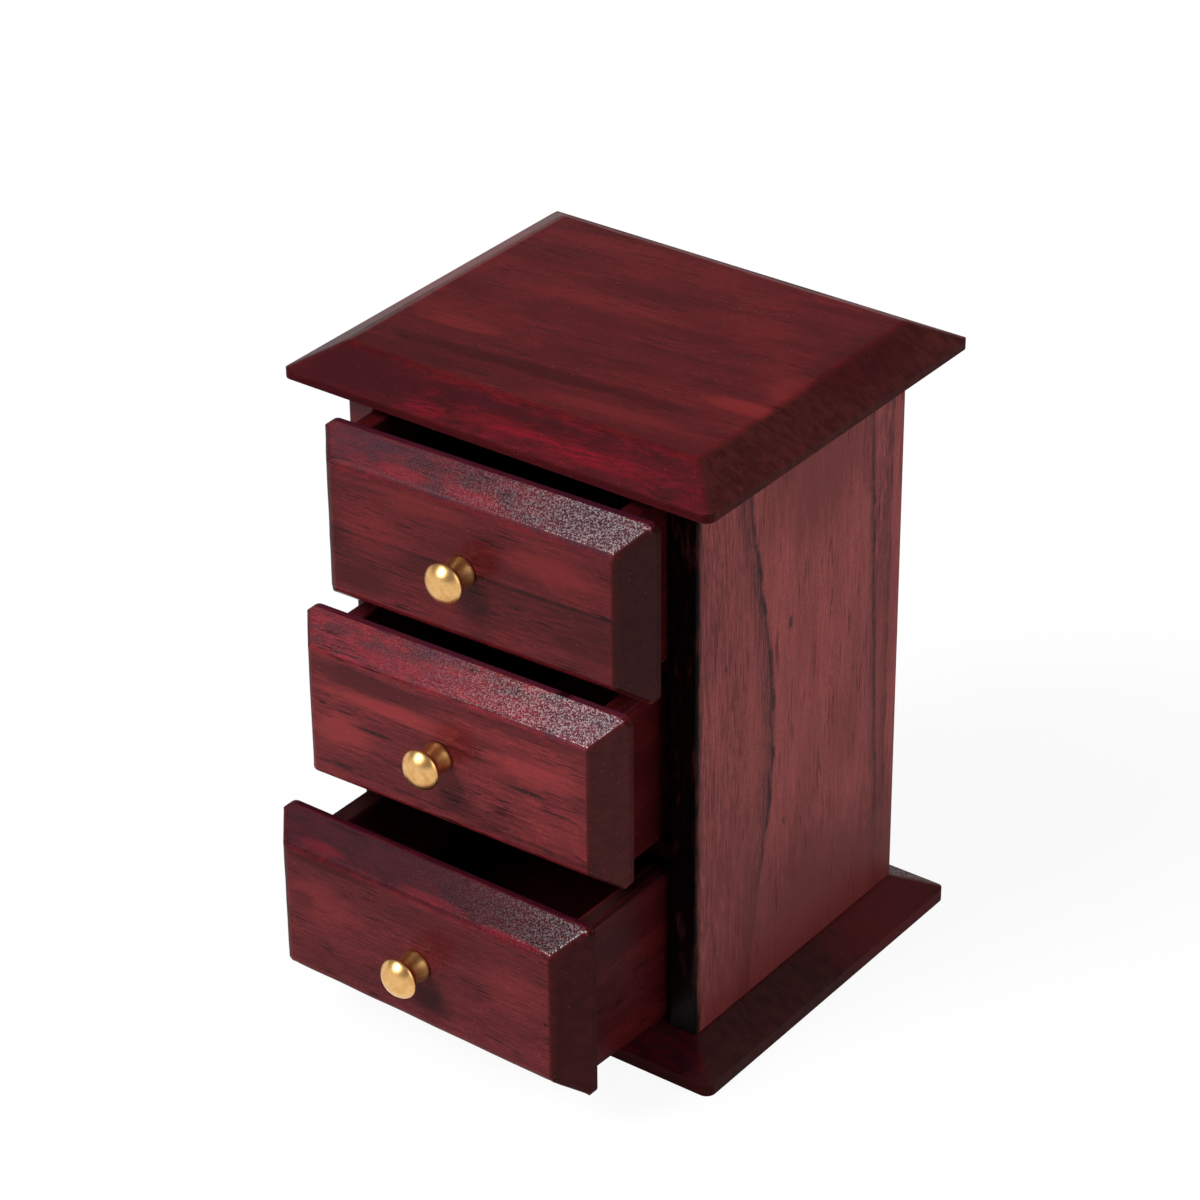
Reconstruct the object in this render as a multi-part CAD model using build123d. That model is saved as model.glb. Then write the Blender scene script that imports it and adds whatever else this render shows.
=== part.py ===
from build123d import *
from math import asin, atan2, cos, degrees, radians, sin
import os

os.makedirs("parts", exist_ok=True)

# Desktop chest of three small drawers, in millimetres. X runs to the right, -Y to the front
# and Z up. The origin is under the middle of the carcass, on the base board's underside.

# Carcass: two side boards that stand on the base board and carry the top board
carcass_width = 97.5
carcass_depth = 82.0
inner_height = 143.5
side_thickness = 7.6
side_arris = 0.7

# Top and base boards: a flat field as large as the carcass, bevelled down to a thin lip
top_thickness = 8.0
top_lip = 2.0
top_overhang_side = 10.3
top_overhang_front = 10.6
top_overhang_back = 10.6
base_thickness = 8.5
base_lip = 3.2
base_overhang_side = 10.1
base_overhang_front = 8.9
base_overhang_back = 10.1
board_corner_radius = 2.5
board_arris = 0.5

# Back panel, in rebates along the rear edges of the side boards
back_thickness = 3.0
rebate_width = 3.8
panel_clearance = 0.2

# Dividers between the bays, held in dados in the side boards
divider_thickness = 4.0
divider_setback = 1.0
dado_depth = 2.5
joint_clearance = 0.1

# Tongues on the ends of the side boards, glued into stopped grooves in the top and base boards
end_tongue_thickness = 3.6
end_tongue_length = 2.5
end_tongue_shoulder = 6.0

# Drawer boxes: sides housed in the front, a back between the sides, a bottom in grooves
running_clearance = 0.3
side_play = 2.65
headroom = 3.6
rear_play = 3.3
box_side_thickness = 5.2
box_back_thickness = 5.2
box_back_inset = 3.0
box_back_housing = 2.0
bottom_thickness = 3.0
bottom_height = 2.5
groove_depth = 2.2
box_arris = 0.8

# Drawer fronts: raised panels that overlap the carcass all round
front_reveal = 4.0
front_end_margin = 3.35
front_gap = 1.2
front_thickness = 9.2
front_lip = 1.8
front_bevel = 5.8
front_corner_radius = 2.4
front_arris = 0.5
closed_gap = 0.3
housing_depth = 3.0
tongue_shoulder = 2.0

# Turned knobs: a foot, a waisted neck and a domed head
knob_foot_radius = 3.9
knob_foot_height = 0.6
knob_waist_radius = 3.0
knob_waist_low = 2.0
knob_waist_high = 4.2
knob_rim_radius = 5.05
knob_rim_height = 6.2
knob_rim_width = 0.6
knob_dome_height = 2.8
knob_dome_rings = 4
knob_bore_depth = 6.5
knob_bore_clearance = 0.05

# How far each knob sits off the middle of its front: to the right, then up
knob_offsets = {
    "bottom": (0.3, -1.3),
    "middle": (-2.3, 0.0),
    "top": (-2.0, 0.0),
}

# Machine screws that hold the knobs from inside the drawers
knob_screw_radius = 1.5
knob_screw_hole_radius = 1.7
knob_screw_head_radius = 2.8
knob_screw_head_height = 1.8
knob_screw_grip = 5.5

# Where each drawer stands at rest: how far it is open, then the shares of its side play
# by which it has slid to the right and has turned to the left, seen from above. The two
# shares of a drawer stay under 1 together, so that it clears its bay all the way in.
rest_places = {
    "bottom": (33.3, 0.45, -0.15),
    "middle": (18.7, -0.55, 0.34),
    "top": (12.2, 0.35, 0.42),
}
held_depth = 12.0

# Worked out from the sizes above
opening_width = carcass_width - 2 * side_thickness
side_middle = (carcass_width - side_thickness) / 2
carcass_front = -carcass_depth / 2
carcass_back = carcass_depth / 2
panel_face = carcass_back - back_thickness
floor_level = base_thickness
ceiling_level = floor_level + inner_height
bay_count = len(rest_places)
bay_height = (inner_height - (bay_count - 1) * divider_thickness) / bay_count
bay_pitch = bay_height + divider_thickness
front_width = carcass_width - 2 * front_reveal
front_height = (inner_height - 2 * front_end_margin - (bay_count - 1) * front_gap) / bay_count
box_width = opening_width - 2 * side_play
box_height = bay_height - running_clearance - headroom
box_depth = panel_face - carcass_front + closed_gap - rear_play
full_skew = degrees(atan2(2 * side_play, box_depth))
cut_margin = 1.0


def save(node, shape):
    export_step(shape, "parts/" + node + ".step")


def bevel_cutter(half, run, thickness, lip, length):
    # Prism over the slope that falls from the field's edge to the lip
    slope = (thickness - lip) / run
    outer = -half - run - cut_margin
    low = lip - cut_margin * slope
    inner = -half + cut_margin
    high = thickness + cut_margin * slope
    section = Plane.YZ * Polygon((outer, low), (inner, high), (outer, high), align=None)
    return extrude(section, length, both=True)


def bevelled_board(field, overhangs, thickness, lip, corner_radius, arris):
    # Board with its flat side down, bevelled round a flat field that is centred on the origin
    width, depth = field
    side, front, back = overhangs
    outline = RectangleRounded(width + 2 * side, depth + front + back, corner_radius)
    board = extrude(Pos(0, (back - front) / 2) * outline, thickness)
    edges = ((depth / 2, front), (width / 2, side), (depth / 2, back), (width / 2, side))
    for quarter, (half, run) in enumerate(edges):
        board -= Rot(0, 0, 90 * quarter) * bevel_cutter(half, run, thickness, lip, width + depth)
    board = fillet(board.edges().group_by(Axis.Z)[-1], arris)
    board = chamfer(board.edges().group_by(Axis.Z)[0], arris)
    return chamfer(lip_edges(board, thickness, lip, arris), arris)


def lip_edges(board, thickness, lip, arris):
    # The edges where the bevels meet the lip, without the mitres at the corners
    low_edges = [edge for edge in board.edges() if 1.01 * arris < edge.center().Z < (lip + thickness) / 2 - arris]
    return [edge for edge in low_edges if abs(edge.tangent_at(0.5).Z) < 0.7]


def peg(radius, bottom, top):
    return Pos(0, 0, bottom) * Cylinder(radius, top - bottom, align=(Align.CENTER, Align.CENTER, Align.MIN))


def tongue_slab(clearance=0.0):
    # Upright slab inside the right-hand side board, which ends in the tongues at its foot and head
    outline = Rectangle(
        end_tongue_thickness + 2 * clearance, carcass_depth - 2 * end_tongue_shoulder + 2 * clearance)
    low = floor_level - end_tongue_length - clearance
    high = ceiling_level + end_tongue_length + clearance
    return extrude(Pos(side_middle, 0, low) * outline, high - low)


def cut_grooves(board):
    grooves = tongue_slab(joint_clearance)
    return board - grooves - mirror(grooves, about=Plane.YZ)


def top_board():
    board = Pos(0, 0, ceiling_level) * bevelled_board(
        (carcass_width, carcass_depth), (top_overhang_side, top_overhang_front, top_overhang_back),
        top_thickness, top_lip, board_corner_radius, board_arris)
    return cut_grooves(board)


def base_board():
    board = bevelled_board(
        (carcass_width, carcass_depth), (base_overhang_side, base_overhang_front, base_overhang_back),
        base_thickness, base_lip, board_corner_radius, board_arris)
    return cut_grooves(board)


def side_board():
    # Right-hand side: its plan outline has the rebate for the back panel
    inner = opening_width / 2
    outer = carcass_width / 2
    plan = make_face(Polyline(
        (inner, carcass_front), (outer, carcass_front), (outer, carcass_back),
        (inner + rebate_width, carcass_back), (inner + rebate_width, panel_face), (inner, panel_face), close=True))
    plan = fillet(plan.vertices().sort_by(Axis.Y)[0:2], side_arris)
    board = extrude(Pos(0, 0, floor_level) * plan, inner_height) + tongue_slab()
    dado_front = carcass_front + divider_setback
    dado = Pos(inner, dado_front) * Rectangle(
        2 * dado_depth, panel_face - dado_front + cut_margin, align=(Align.CENTER, Align.MIN))
    for bay in range(1, bay_count):
        board -= extrude(Pos(0, 0, floor_level + bay * bay_pitch - divider_thickness) * dado, divider_thickness)
    return board


def divider(bay):
    # Board under the given bay, with square tongues in the dados
    width = opening_width + 2 * (dado_depth - joint_clearance)
    front = carcass_front + divider_setback + joint_clearance
    outline = Pos(0, front) * Rectangle(
        width, panel_face - joint_clearance - front, align=(Align.CENTER, Align.MIN))
    low = floor_level + bay * bay_pitch - divider_thickness
    return extrude(Pos(0, 0, low) * outline, divider_thickness)


def back_panel():
    width = opening_width + 2 * (rebate_width - panel_clearance)
    height = inner_height - 2 * panel_clearance
    outline = Plane.XZ * Rectangle(width, height)
    return extrude(Pos(0, carcass_back, floor_level + inner_height / 2) * outline, back_thickness)


def dome_profile(radius, base, height, rings):
    # Points of a circular arc from the rim of a shallow dome up to its crown, left out
    sphere = (radius ** 2 + height ** 2) / (2 * height)
    half_angle = asin(radius / sphere)
    centre = base + height - sphere
    angles = [half_angle * (rings - ring) / rings for ring in range(rings)]
    return [(sphere * sin(angle), centre + sphere * cos(angle)) for angle in angles]


def knob():
    # Turned about its own Z axis, with its foot at Z = 0
    rim_high = knob_rim_height + knob_rim_width
    outline = [
        (0, 0), (knob_foot_radius, 0), (knob_foot_radius, knob_foot_height),
        (knob_waist_radius, knob_waist_low), (knob_waist_radius, knob_waist_high),
        (knob_rim_radius, knob_rim_height)]
    outline += dome_profile(knob_rim_radius, rim_high, knob_dome_height, knob_dome_rings)
    outline.append((0, rim_high + knob_dome_height))
    body = revolve(make_face(Plane.XZ * Polyline(*outline, close=True)), Axis.Z)
    return body - peg(knob_screw_radius + knob_bore_clearance, -cut_margin, knob_bore_depth)


def knob_screw():
    # Head inside the drawer, shank out through the front into the knob
    tip = front_thickness + knob_screw_grip
    head = peg(knob_screw_head_radius, -knob_screw_head_height, 0)
    return head + peg(knob_screw_radius, -knob_screw_head_height / 2, tip)


def drawer_front(rise, knob_offset):
    # Local frame of every drawer: the front's back face is Y = 0, the box's underside Z = 0
    field = (front_width - 2 * front_bevel, front_height - 2 * front_bevel)
    board = bevelled_board(
        field, (front_bevel, front_bevel, front_bevel), front_thickness, front_lip,
        front_corner_radius, front_arris)
    board -= Pos(*knob_offset) * peg(knob_screw_hole_radius, -cut_margin, front_thickness + cut_margin)
    board = Pos(0, 0, rise + front_height / 2) * Rot(90, 0, 0) * board
    low, high = tongue_span(rise)
    for side in (-1, 1):
        x = side * (box_width - box_side_thickness) / 2
        slot = Plane.XZ * Rectangle(
            box_side_thickness + 2 * joint_clearance, high - low + 2 * joint_clearance)
        board -= extrude(Pos(x, 0, (low + high) / 2) * slot, housing_depth, both=True)
    return board


def tongue_span(rise):
    # Heights between which the box sides enter the front, clear of its bevels
    low = max(tongue_shoulder, rise + front_bevel)
    high = min(box_height - tongue_shoulder, rise + front_height - front_bevel)
    return low, high


def box_side(rise):
    # Right-hand side: its section has the groove for the bottom
    outer = box_width / 2
    inner = outer - box_side_thickness
    groove = inner + groove_depth
    groove_top = bottom_height + bottom_thickness
    section = make_face(Plane.XZ * Polyline(
        (inner, 0), (outer, 0), (outer, box_height), (inner, box_height), (inner, groove_top),
        (groove, groove_top), (groove, bottom_height), (inner, bottom_height), close=True))
    board = extrude(section, -box_depth)
    board = fillet(board.edges().filter_by(Axis.Y).group_by(Axis.Z)[-1], box_arris)
    low, high = tongue_span(rise)
    tongue = Plane.XZ * Rectangle(box_side_thickness, high - low)
    board += extrude(Pos((inner + outer) / 2, 0, (low + high) / 2) * tongue, housing_depth - joint_clearance)
    rear = box_depth - box_back_inset
    housing = Pos(inner, rear - box_back_thickness / 2) * Rectangle(2 * box_back_housing, box_back_thickness)
    return board - extrude(Pos(0, 0, groove_top) * housing, box_height)


def box_back():
    # Board between the sides, standing on the bottom
    low = bottom_height + bottom_thickness
    high = box_height - box_arris
    width = box_width - 2 * (box_side_thickness - box_back_housing + joint_clearance)
    front = box_depth - box_back_inset - box_back_thickness
    section = Plane.YZ * Rectangle(box_back_thickness, high - low, align=(Align.MIN, Align.MIN))
    board = extrude(Pos(0, front, low) * section, width / 2, both=True)
    return fillet(board.edges().filter_by(Axis.X).group_by(Axis.Z)[-1], box_arris)


def box_bottom():
    width = box_width - 2 * (box_side_thickness - groove_depth + joint_clearance)
    outline = Rectangle(width, box_depth, align=(Align.CENTER, Align.MIN))
    return extrude(Pos(0, 0, bottom_height) * outline, bottom_thickness)


def drawer_place(index, name):
    # Turned about the middle of the box, then set so that its front is open by its rest share
    open_by, shift_share, skew_share = rest_places[name]
    skew = skew_share * full_skew
    middle_y = carcass_front - open_by + box_depth / 2 * cos(radians(skew))
    level = floor_level + index * bay_pitch + running_clearance
    return Pos(shift_share * side_play, middle_y, level) * Rot(0, 0, skew) * Pos(0, -box_depth / 2, 0)


def front_rise(index):
    # The fronts are spaced evenly up the carcass, the boxes stand on the floors of the bays
    front_level = front_end_margin + index * (front_height + front_gap)
    return front_level - index * bay_pitch - running_clearance


def travel(name):
    # How far a drawer can go in, until its nearer edge all but meets the carcass, and out
    open_by, shift_share, skew_share = rest_places[name]
    nearer_edge = front_width / 2 * abs(sin(radians(skew_share * full_skew)))
    inwards = open_by - closed_gap - nearer_edge
    outwards = box_depth - held_depth - open_by
    return -inwards, outwards


def build_carcass():
    right = side_board()
    save("top_board", top_board())
    save("base_board", base_board())
    save("right_side", right)
    save("left_side", mirror(right, about=Plane.YZ))
    save("back_panel", back_panel())
    save("lower_divider", divider(1))
    save("upper_divider", divider(2))


def build_drawer(index, name):
    place = drawer_place(index, name)
    rise = front_rise(index)
    right = box_side(rise)
    knob_offset = knob_offsets[name]
    knob_axis = Pos(0, 0, rise + front_height / 2) * Rot(90, 0, 0) * Pos(*knob_offset)
    save(name + "_drawer_front", place * drawer_front(rise, knob_offset))
    save(name + "_drawer_right_side", place * right)
    save(name + "_drawer_left_side", place * mirror(right, about=Plane.YZ))
    save(name + "_drawer_back", place * box_back())
    save(name + "_drawer_bottom", place * box_bottom())
    save(name + "_knob", place * knob_axis * Pos(0, 0, front_thickness) * knob())
    save(name + "_knob_screw", place * knob_axis * knob_screw())


build_carcass()
for index, name in enumerate(rest_places):
    build_drawer(index, name)
    inwards, outwards = travel(name)
    skew = rest_places[name][2] * full_skew
    print(f"{name} drawer: {inwards:.2f} to {outwards:.2f} mm from rest, turned {skew:.2f} degrees")
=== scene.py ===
import math
import bmesh
import bpy
from mathutils import Euler, Matrix, Vector, noise


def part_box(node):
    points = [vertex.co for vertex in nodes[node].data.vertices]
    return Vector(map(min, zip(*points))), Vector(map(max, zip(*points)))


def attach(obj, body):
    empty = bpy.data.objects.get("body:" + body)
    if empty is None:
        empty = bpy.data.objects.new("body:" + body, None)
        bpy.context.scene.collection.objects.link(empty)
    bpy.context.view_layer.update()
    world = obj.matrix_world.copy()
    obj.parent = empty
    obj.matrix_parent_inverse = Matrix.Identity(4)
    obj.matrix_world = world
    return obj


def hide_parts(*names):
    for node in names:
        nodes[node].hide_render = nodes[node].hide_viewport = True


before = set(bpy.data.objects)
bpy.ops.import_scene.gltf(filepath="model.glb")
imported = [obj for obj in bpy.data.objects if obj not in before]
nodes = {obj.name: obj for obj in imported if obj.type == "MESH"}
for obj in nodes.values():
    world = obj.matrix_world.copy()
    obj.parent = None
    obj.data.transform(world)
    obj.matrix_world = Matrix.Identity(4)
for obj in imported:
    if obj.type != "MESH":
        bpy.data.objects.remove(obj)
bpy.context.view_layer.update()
mm = 0.001
perMetre = 1000.0
mergeDistance = 0.002 * mm
drawerNames = ("top", "middle", "bottom")
print("stage: frame loaded,", len(nodes), "nodes")


# Small helpers for shader trees

def plug(tree, value, socket):
    if isinstance(value, bpy.types.NodeSocket):
        tree.links.new(value, socket)
    else:
        socket.default_value = value


def addNode(tree, kind, inputs=None, **settings):
    node = tree.nodes.new("ShaderNode" + kind)
    for key, value in settings.items():
        setattr(node, key, value)
    for key, value in (inputs or {}).items():
        plug(tree, value, node.inputs[key])
    return node


def calc(tree, operation, first, second=0.0, clamp=False):
    return addNode(tree, "Math", {0: first, 1: second}, operation=operation, use_clamp=clamp).outputs[0]


def times(tree, first, second):
    return calc(tree, "MULTIPLY", first, second)


def plus(tree, first, second, clamp=False):
    return calc(tree, "ADD", first, second, clamp)


def minus(tree, first, second):
    return calc(tree, "SUBTRACT", first, second)


def vectorCalc(tree, operation, first, second=(0.0, 0.0, 0.0)):
    return addNode(tree, "VectorMath", {0: first, 1: second}, operation=operation).outputs


def smoothRange(tree, value, low, high, start=0.0, end=1.0):
    limits = {"Value": value, "From Min": low, "From Max": high, "To Min": start, "To Max": end}
    return addNode(tree, "MapRange", limits, interpolation_type="SMOOTHSTEP", clamp=True).outputs[0]


def noiseOf(tree, vector, scale, detail=2.0, roughness=0.5, distortion=0.0):
    inputs = {"Vector": vector, "Scale": scale, "Detail": detail}
    inputs.update({"Roughness": roughness, "Distortion": distortion})
    return addNode(tree, "TexNoise", inputs).outputs["Fac"]


def grainNoise(tree, vector, stretch, *settings):
    # Noise drawn out along the grain: the smaller the stretch, the longer its streaks
    return noiseOf(tree, vectorCalc(tree, "MULTIPLY", vector, (stretch, 1.0, 1.0))[0], *settings)


def mixColor(tree, factor, first, second):
    return addNode(tree, "Mix", {0: factor, 6: first, 7: second}, data_type="RGBA").outputs[2]


def tinted(tree, color, mask, amount, tone):
    # The colour, with so much of the tone over it where the mask is
    return mixColor(tree, times(tree, mask, amount), color, tone)


def newGroup(name, inputs, outputs):
    tree = bpy.data.node_groups.new(name, "ShaderNodeTree")
    for label, kind, value in inputs:
        socket = tree.interface.new_socket(label, in_out="INPUT", socket_type="NodeSocket" + kind)
        if value is not None:
            socket.default_value = value
    for label in outputs:
        tree.interface.new_socket(label, in_out="OUTPUT", socket_type="NodeSocketFloat")
    return tree, tree.nodes.new("NodeGroupInput").outputs, tree.nodes.new("NodeGroupOutput").inputs


def useGroup(tree, group, inputs):
    node = tree.nodes.new("ShaderNodeGroup")
    node.node_tree = group
    for key, value in inputs.items():
        plug(tree, value, node.inputs[key])
    return node.outputs


def newMaterial(name):
    material = bpy.data.materials.new(name)
    material.use_nodes = True
    material.node_tree.nodes.clear()
    return material, material.node_tree


def showSurface(tree, shader):
    output = tree.nodes.new("ShaderNodeOutputMaterial")
    tree.links.new(shader.outputs[0], output.inputs["Surface"])


# Shader groups that several finishes share. Their vectors are in millimetres, X along the grain.
# A noise is its scale per millimetre, detail, roughness and distortion, after its stretch if it has one.
# A range is the part of a texture that becomes a mask from 0 to 1.

grainSettings = {
    "drift": (71.3, 17.9, 33.1),
    "bandStretch": 0.055, "bandNoise": (3.0, 0.55, 0.35), "bandRange": (0.33, 0.67),
    "blotchNoise": (0.45, 0.055, 3.0, 0.6, 0.6), "blotchRange": (0.40, 0.66),
    "mottleNoise": (0.35, 0.42, 4.0, 0.65, 0.5), "mottleRange": (0.36, 0.64),
    "longFibreNoise": (0.05, 1.7, 3.0, 0.6, 0.15), "shortFibreNoise": (0.13, 2.1, 3.0, 0.65, 0.3),
    "fibreRange": (0.40, 0.61), "fibreHeight": 0.35,
    "gritNoise": (0.6, 1.7, 2.0, 0.6), "gritRange": (0.36, 0.64),
    "poreNoise": (0.07, 2.0, 1.0, 0.5, 0.2), "poreRange": (0.57, 0.67),
    "clusterNoise": (0.25, 0.16, 2.0), "clusterRange": (0.38, 0.62),
}


def makeGrainGroup():
    # The figure of a board, which its Seed moves about. Bands have the width of the input, in millimetres.
    chosen = grainSettings
    inputs = [("Vector", "Vector", None), ("Seed", "Float", 0.0), ("Band Width", "Float", 6.0)]
    outputs = ("Band", "Blotch", "Mottle", "Fibre", "Pore", "Grit", "Height")
    tree, source, result = newGroup("mahogany grain", inputs, outputs)
    steps = {axis: times(tree, source["Seed"], step) for axis, step in zip("XYZ", chosen["drift"])}
    drift = addNode(tree, "CombineXYZ", steps).outputs[0]
    moved = vectorCalc(tree, "ADD", source["Vector"], drift)[0]
    bandScale = calc(tree, "DIVIDE", 1.0, source["Band Width"])
    bands = grainNoise(tree, moved, chosen["bandStretch"], bandScale, *chosen["bandNoise"])
    plug(tree, smoothRange(tree, bands, *chosen["bandRange"]), result["Band"])
    for label in ("Blotch", "Mottle", "Grit"):
        texture = grainNoise(tree, moved, *chosen[label.lower() + "Noise"])
        plug(tree, smoothRange(tree, texture, *chosen[label.lower() + "Range"]), result[label])
    longFibres = grainNoise(tree, moved, *chosen["longFibreNoise"])
    shortFibres = grainNoise(tree, moved, *chosen["shortFibreNoise"])
    fibres = plus(tree, times(tree, longFibres, 0.5), times(tree, shortFibres, 0.5))
    plug(tree, smoothRange(tree, fibres, *chosen["fibreRange"]), result["Fibre"])
    allPores = smoothRange(tree, grainNoise(tree, moved, *chosen["poreNoise"]), *chosen["poreRange"])
    clusters = smoothRange(tree, grainNoise(tree, moved, *chosen["clusterNoise"]), *chosen["clusterRange"])
    pores = times(tree, allPores, clusters)
    plug(tree, pores, result["Pore"])
    plug(tree, minus(tree, times(tree, fibres, chosen["fibreHeight"]), pores), result["Height"])
    return tree


veinSettings = {
    "inputs": {
        "Across": 0.0, "Along": 0.0, "Place": 0.0, "Width": 1.0, "Tail": 4.0, "Bulge": 0.0, "Middle": 0.0,
        "Reach": 50.0, "Slope": 0.0, "Sway": 1.0, "Gaps": 0.5,
    },
    "swayNoise": (0.06, 3.0), "gapNoise": (0.16, 3.0, 0.6), "gapRange": (0.38, 0.60),
    "lineRange": (0.2, 1.0),
}


def makeVeinGroup():
    # One dark line in the figure: Bulge bends it, Tail darkens the wood on its low side
    inputs = [(label, "Float", value) for label, value in veinSettings["inputs"].items()]
    tree, source, result = newGroup("dark vein", inputs, ("Line", "Shade"))
    fromMiddle = minus(tree, source["Along"], source["Middle"])
    share = calc(tree, "DIVIDE", calc(tree, "ABSOLUTE", fromMiddle), source["Reach"])
    bulge = times(tree, source["Bulge"], smoothRange(tree, share, 0.0, 1.0, 1.0, 0.0))
    alongVector = addNode(tree, "CombineXYZ", {"X": source["Along"], "Y": source["Place"]}).outputs[0]
    sway = minus(tree, noiseOf(tree, alongVector, *veinSettings["swayNoise"]), 0.5)
    lean = plus(tree, times(tree, source["Slope"], fromMiddle), times(tree, source["Sway"], sway))
    centre = plus(tree, plus(tree, source["Place"], bulge), lean)
    away = minus(tree, source["Across"], centre)
    distance = calc(tree, "DIVIDE", calc(tree, "ABSOLUTE", away), source["Width"])
    below = calc(tree, "DIVIDE", away, source["Tail"])
    onLowSide = calc(tree, "LESS_THAN", away, 0.0)
    texture = noiseOf(tree, alongVector, *veinSettings["gapNoise"])
    gaps = smoothRange(tree, texture, *veinSettings["gapRange"])
    strength = minus(tree, 1.0, times(tree, source["Gaps"], gaps))
    line = smoothRange(tree, distance, *veinSettings["lineRange"], 1.0, 0.0)
    plug(tree, times(tree, line, strength), result["Line"])
    plug(tree, times(tree, onLowSide, smoothRange(tree, below, -1.0, 0.0)), result["Shade"])
    return tree


patchSettings = {"edgeNoise": (0.2, 0.6, 3.0, 0.6), "fuzz": 0.8, "reach": (0.35, 1.05)}


def makePatchGroup():
    # An oval patch of another tone with an uneven edge
    inputs = [(label, "Vector", None) for label in ("Vector", "Place", "Size")]
    tree, source, result = newGroup("stain patch", inputs, ("Mask",))
    away = vectorCalc(tree, "SUBTRACT", source["Vector"], source["Place"])[0]
    share = vectorCalc(tree, "DIVIDE", away, source["Size"])[0]
    reach = vectorCalc(tree, "LENGTH", share)["Value"]
    edge = grainNoise(tree, source["Vector"], *patchSettings["edgeNoise"])
    wander = times(tree, minus(tree, edge, 0.5), patchSettings["fuzz"])
    mask = smoothRange(tree, plus(tree, reach, wander), *patchSettings["reach"], 1.0, 0.0)
    plug(tree, mask, result["Mask"])
    return tree


facingRanges = {"end": (0.06, 0.46), "flat": (0.92, 0.99), "up": (0.1, 0.5), "back": (0.2, 0.6)}


def makeFacingGroup():
    # Where a face is cut across the grain, where it is bevelled, and where it looks up or to the back
    inputs = [("Normal", "Vector", None), ("Grain Axis", "Vector", None)]
    tree, source, result = newGroup("facing", inputs, ("End", "Bevel", "Up", "Back"))
    along = vectorCalc(tree, "DOT_PRODUCT", source["Normal"], source["Grain Axis"])["Value"]
    size = vectorCalc(tree, "ABSOLUTE", source["Normal"])[0]
    parts = addNode(tree, "SeparateXYZ", {0: size}).outputs
    largest = calc(tree, "MAXIMUM", calc(tree, "MAXIMUM", parts[0], parts[1]), parts[2])
    direction = addNode(tree, "SeparateXYZ", {0: source["Normal"]}).outputs
    plug(tree, smoothRange(tree, calc(tree, "ABSOLUTE", along), *facingRanges["end"]), result["End"])
    plug(tree, smoothRange(tree, largest, *facingRanges["flat"], 1.0, 0.0), result["Bevel"])
    plug(tree, smoothRange(tree, direction[2], *facingRanges["up"]), result["Up"])
    plug(tree, smoothRange(tree, direction[1], *facingRanges["back"]), result["Back"])
    return tree


varnishSettings = {
    "coarseNoise": (0.9, 1.0), "fineNoise": (2.6, 1.0, 0.5, 0.4), "peelShare": 0.55,
    "crinkleNoise": (2.3, 1.0, 0.55, 0.6), "speckleRange": (0.44, 0.64),
    "nibScale": 0.42, "nibRange": (0.03, 0.09),
}


def makeVarnishGroup():
    # Orange peel of the varnish, its crinkles on the bevels, and the dust nibs that dried in it
    chosen = varnishSettings
    outputs = ("Peel", "Crinkle", "Speckle", "Nibs")
    tree, source, result = newGroup("varnish peel", [("Vector", "Vector", None)], outputs)
    coarse = noiseOf(tree, source["Vector"], *chosen["coarseNoise"])
    fine = noiseOf(tree, source["Vector"], *chosen["fineNoise"])
    crinkle = noiseOf(tree, source["Vector"], *chosen["crinkleNoise"])
    cells = addNode(tree, "TexVoronoi", {"Vector": source["Vector"], "Scale": chosen["nibScale"]}).outputs
    plug(tree, times(tree, plus(tree, coarse, fine), chosen["peelShare"]), result["Peel"])
    plug(tree, crinkle, result["Crinkle"])
    plug(tree, smoothRange(tree, crinkle, *chosen["speckleRange"]), result["Speckle"])
    plug(tree, smoothRange(tree, cells["Distance"], *chosen["nibRange"], 1.0, 0.0), result["Nibs"])
    return tree


grainGroup = makeGrainGroup()
veinGroup = makeVeinGroup()
patchGroup = makePatchGroup()
facingGroup = makeFacingGroup()
varnishGroup = makeVarnishGroup()
print("stage: shader groups built")


# Finishes. Colours are linear, as the shader reads them.

stain = {
    "deep": (0.055, 0.0045, 0.0070),
    "body": (0.165, 0.0155, 0.0195),
    "warm": (0.290, 0.0260, 0.0280),
    "pore": (0.018, 0.0025, 0.0035),
    "vein": (0.045, 0.0045, 0.0060),
    "end": (0.047, 0.0070, 0.0065),
    "worn": (0.330, 0.0150, 0.0180),
    "crimson": (0.260, 0.0070, 0.0190),
    "plum": (0.055, 0.0090, 0.0220),
    # black paints the shade on the front edges of the carcass sides, and also makes a few small dark marks
    "black": (0.003, 0.0006, 0.0006),
    "rim": (0.075, 0.0260, 0.0230),
    "dust": (0.300, 0.2200, 0.2200),
}
grainTurn = {
    "X": (0.0, 0.0, 0.0),
    "Y": (0.0, 0.0, -math.pi / 2),
    "Z": (0.0, math.pi / 2, 0.0),
}
grainAxis = {"X": (1, 0, 0), "Y": (0, 1, 0), "Z": (0, 0, 1)}

# What a board's look may change. Most are shares of a mark or tone, "bandWidth" is in millimetres, and
# "shine" is the stretch along the board over which its bevels turn glossier, with the gloss at both ends.

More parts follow.
